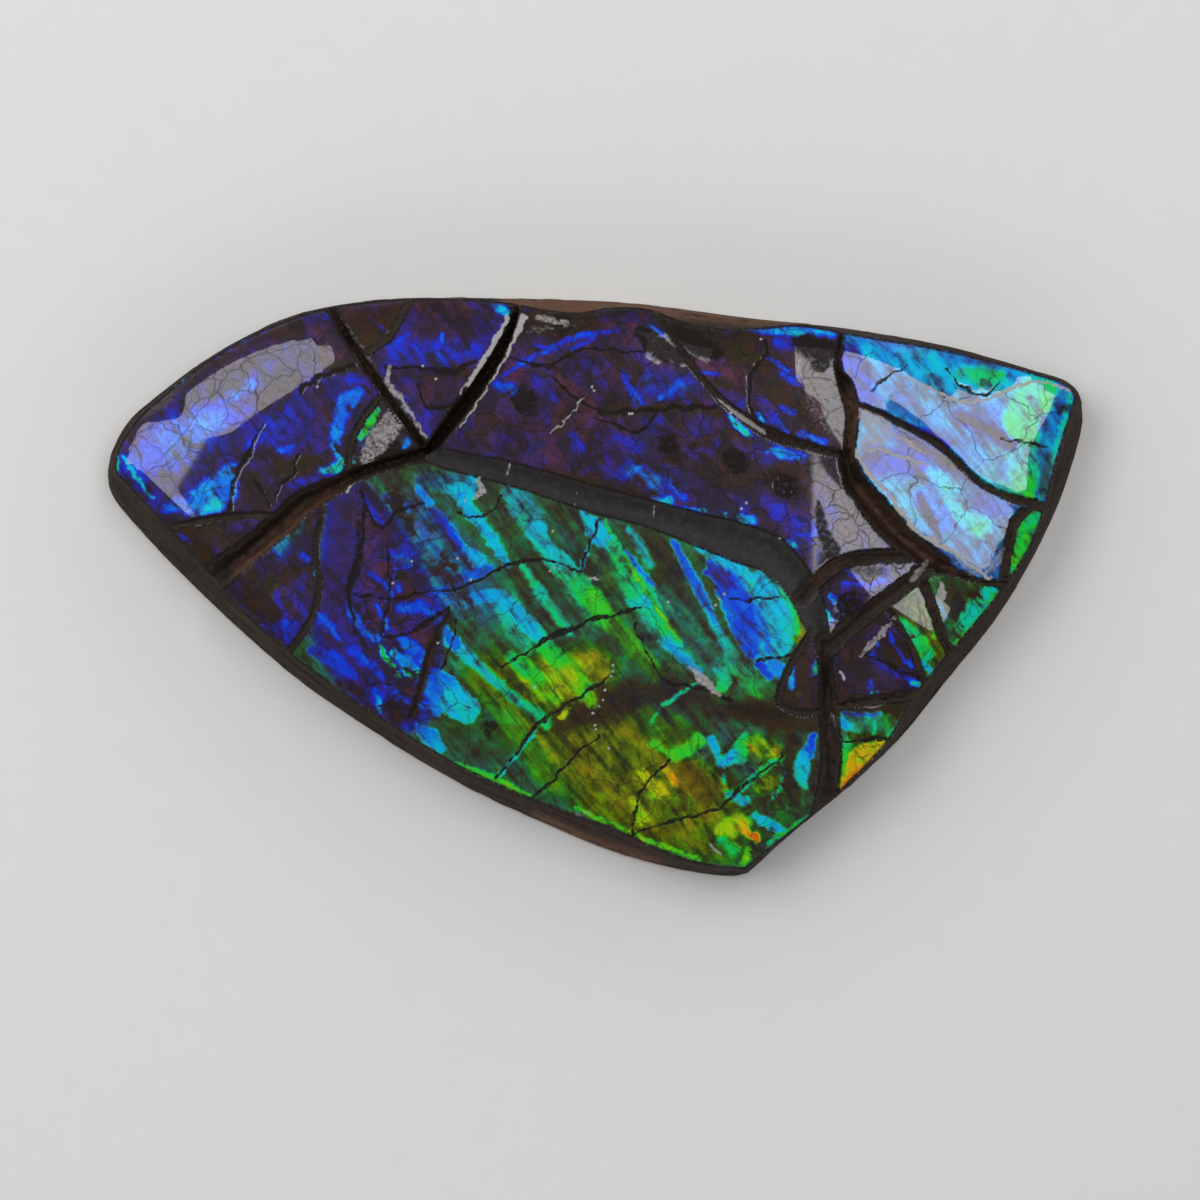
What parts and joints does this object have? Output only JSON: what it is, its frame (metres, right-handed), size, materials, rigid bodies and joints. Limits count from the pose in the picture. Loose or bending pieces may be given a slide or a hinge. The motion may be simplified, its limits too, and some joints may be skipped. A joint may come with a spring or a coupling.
{
  "type": "ammolite specimen",
  "caption": "Polished freeform slab of ironstone faced with iridescent ammonite shell, broken into plates by rock-filled cracks, lying on a flat sawn back.",
  "frame": {"origin": "under the middle of the slab's box, on the sawn back", "axes": "+X along the length towards the square corner, +Y across towards the long upper edge, +Z out of the polished face"},
  "size_m": [0.0986, 0.0588, 0.01],
  "materials": {
    "ironstone": "dark brown ironstone, ground rim, sawn back, polished where it fills the cracks of the face",
    "ammolite": "polished iridescent aragonite shell, violet and blue to green, olive and gold"
  },
  "bodies": {
    "root": {"ironstone_matrix": "ironstone", "shell_left_lobe": "ammolite", "shell_left_sliver": "ammolite", "shell_brown_wedge": "ammolite", "shell_calcite_chip": "ammolite", "shell_top_left": "ammolite", "shell_upper_middle": "ammolite", "shell_shoulder": "ammolite", "shell_corner": "ammolite", "shell_ridge": "ammolite", "shell_right_edge": "ammolite", "shell_ribbed": "ammolite", "shell_lower_left": "ammolite", "shell_wedge": "ammolite", "shell_rough_chip": "ammolite", "shell_triangle": "ammolite", "shell_olive": "ammolite", "shell_green": "ammolite", "shell_fan": "ammolite"}
  },
  "joints": []
}
